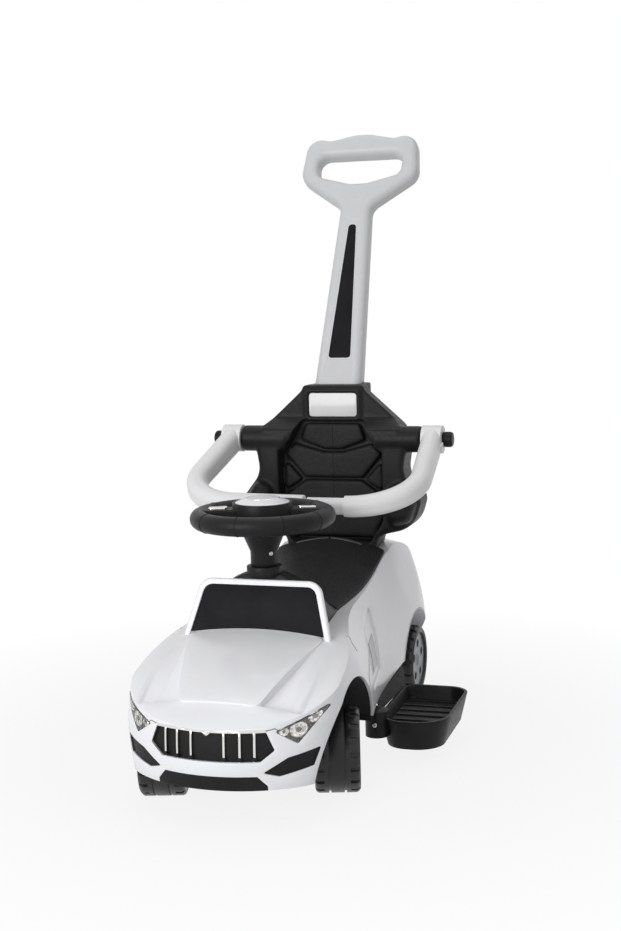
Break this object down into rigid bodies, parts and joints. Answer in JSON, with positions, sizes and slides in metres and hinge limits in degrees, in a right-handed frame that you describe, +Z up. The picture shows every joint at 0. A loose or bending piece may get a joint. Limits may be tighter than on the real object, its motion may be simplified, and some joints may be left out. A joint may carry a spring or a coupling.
{
  "type": "push car with handle",
  "caption": "White ride-on push car with black saddle seat and backrest, steering wheel, swing-up guard rails, slide-in footrests and a tall leaning push handle with a D grip.",
  "frame": {"origin": "on the floor, under the middle of the overall length and width", "axes": "+Z up, -Y the way the car faces, +X the car's left"},
  "size_m": [0.452, 0.797, 0.8906],
  "materials": {
    "white_body": "glossy white moulded plastic",
    "white_trim": "satin white moulded plastic",
    "light_grey": "satin light grey moulded plastic",
    "plate_white": "smooth pale plate, bare",
    "black_plastic": "fine-grained black plastic",
    "black_under": "plain black plastic",
    "dark_panel": "smooth dark grey sheet",
    "bright_trim": "bright plated plastic",
    "clear_cover": "clear moulded cover",
    "wheel_black": "hard black plastic with moulded tread",
    "hub_grey": "silver-grey plastic",
    "steel": "plain steel rod"
  },
  "bodies": {
    "chassis": {"body_shell": "white_body", "windscreen_panel": "dark_panel", "grille_insert": "black_under", "grille_bars": "bright_trim", "grille_strip": "bright_trim", "front_lip": "black_plastic", "chassis_pan": "black_under", "dash_cover": "black_plastic", "column_bush": "black_plastic", "seat": "black_plastic", "backrest": "black_plastic", "backrest_plate": "plate_white", "push_handle": "light_grey", "handle_panel": "dark_panel", "rear_axle_rod": "steel", "axle_clip_rear_left": "steel", "axle_clip_rear_right": "steel", "headlight_lens_left": "clear_cover", "headlight_lens_right": "clear_cover", "headlight_bowl_left": "bright_trim", "headlight_bowl_right": "bright_trim", "fog_intake_left": "black_under", "fog_intake_right": "black_under", "arch_liner_left": "black_under", "arch_liner_right": "black_under", "guard_knob_left": "black_plastic", "guard_knob_right": "black_plastic"},
    "steering": {"steering_wheel": "black_plastic", "steering_column": "steel", "column_sleeve": "black_plastic", "sound_module": "black_plastic"},
    "horn": {"horn_button": "white_trim"},
    "button_left": {"spoke_button_left": "bright_trim"},
    "button_right": {"spoke_button_right": "bright_trim"},
    "link": {"drag_link": "black_under"},
    "front_axle": {"front_axle_beam": "black_under", "king_pin_cap": "black_under", "front_axle_rod": "steel", "axle_clip_front_left": "steel", "axle_clip_front_right": "steel"},
    "guard_left": {"guard_arm_left": "white_trim"},
    "guard_right": {"guard_arm_right": "white_trim"},
    "footrest_left": {"footrest_left": "black_plastic"},
    "footrest_right": {"footrest_right": "black_plastic"},
    "wheel_front_left": {"wheel_front_left": "wheel_black", "hub_cap_front_left": "hub_grey"},
    "wheel_front_right": {"wheel_front_right": "wheel_black", "hub_cap_front_right": "hub_grey"},
    "wheel_rear_left": {"wheel_rear_left": "wheel_black", "hub_cap_rear_left": "hub_grey"},
    "wheel_rear_right": {"wheel_rear_right": "wheel_black", "hub_cap_rear_right": "hub_grey"}
  },
  "joints": [
    {"name": "steering_turn", "type": "hinge", "parent": "chassis", "child": "steering", "pos_m": [0, -0.17, 0.3], "axis": [0, 0, 1], "range_deg": [-34, 2]},
    {"name": "axle_turn", "type": "hinge", "parent": "chassis", "child": "front_axle", "pos_m": [0, -0.245, 0.08], "axis": [0, 0, 1], "range_deg": [-34, 2]},
    {"name": "link_turn", "type": "hinge", "parent": "steering", "child": "link", "pos_m": [0.02884, -0.16173, 0.0414], "axis": [0, 0, 1], "range_deg": [-2, 34]},
    {"name": "horn_press", "type": "slide", "parent": "steering", "child": "horn", "axis": [0, 0, -1], "range_m": [0, 0.002], "stiffness_N_per_m": 1500, "springref_m": -0.002},
    {"name": "button_press_left", "type": "slide", "parent": "steering", "child": "button_left", "axis": [0, 0, -1], "range_m": [0, 0.0015], "stiffness_N_per_m": 800, "springref_m": -0.001},
    {"name": "button_press_right", "type": "slide", "parent": "steering", "child": "button_right", "axis": [0, 0, -1], "range_m": [0, 0.0015], "stiffness_N_per_m": 800, "springref_m": -0.001},
    {"name": "wheel_spin_front_left", "type": "hinge", "parent": "front_axle", "child": "wheel_front_left", "pos_m": [0.10766, -0.21413, 0.055], "axis": [0.9613, 0.2756, 0], "continuous": true},
    {"name": "wheel_spin_front_right", "type": "hinge", "parent": "front_axle", "child": "wheel_front_right", "pos_m": [-0.10766, -0.27587, 0.055], "axis": [0.9613, 0.2756, 0], "continuous": true},
    {"name": "wheel_spin_rear_left", "type": "hinge", "parent": "chassis", "child": "wheel_rear_left", "pos_m": [0.084, 0.237, 0.055], "axis": [1, 0, 0], "continuous": true},
    {"name": "wheel_spin_rear_right", "type": "hinge", "parent": "chassis", "child": "wheel_rear_right", "pos_m": [-0.084, 0.237, 0.055], "axis": [1, 0, 0], "continuous": true},
    {"name": "guard_swing_left", "type": "hinge", "parent": "chassis", "child": "guard_left", "pos_m": [0.156, 0.157, 0.417], "axis": [-1, 0, 0], "range_deg": [0, 95]},
    {"name": "footrest_slide_left", "type": "slide", "parent": "chassis", "child": "footrest_left", "axis": [-1, 0, 0], "range_m": [0, 0.08]},
    {"name": "guard_swing_right", "type": "hinge", "parent": "chassis", "child": "guard_right", "pos_m": [-0.156, 0.157, 0.417], "axis": [-1, 0, 0], "range_deg": [0, 95]},
    {"name": "footrest_slide_right", "type": "slide", "parent": "chassis", "child": "footrest_right", "axis": [1, 0, 0], "range_m": [0, 0.08]}
  ],
  "couplings": [
    {"joint": "axle_turn", "follows": "steering_turn", "ratio": 1},
    {"joint": "link_turn", "follows": "steering_turn", "ratio": -1}
  ]
}
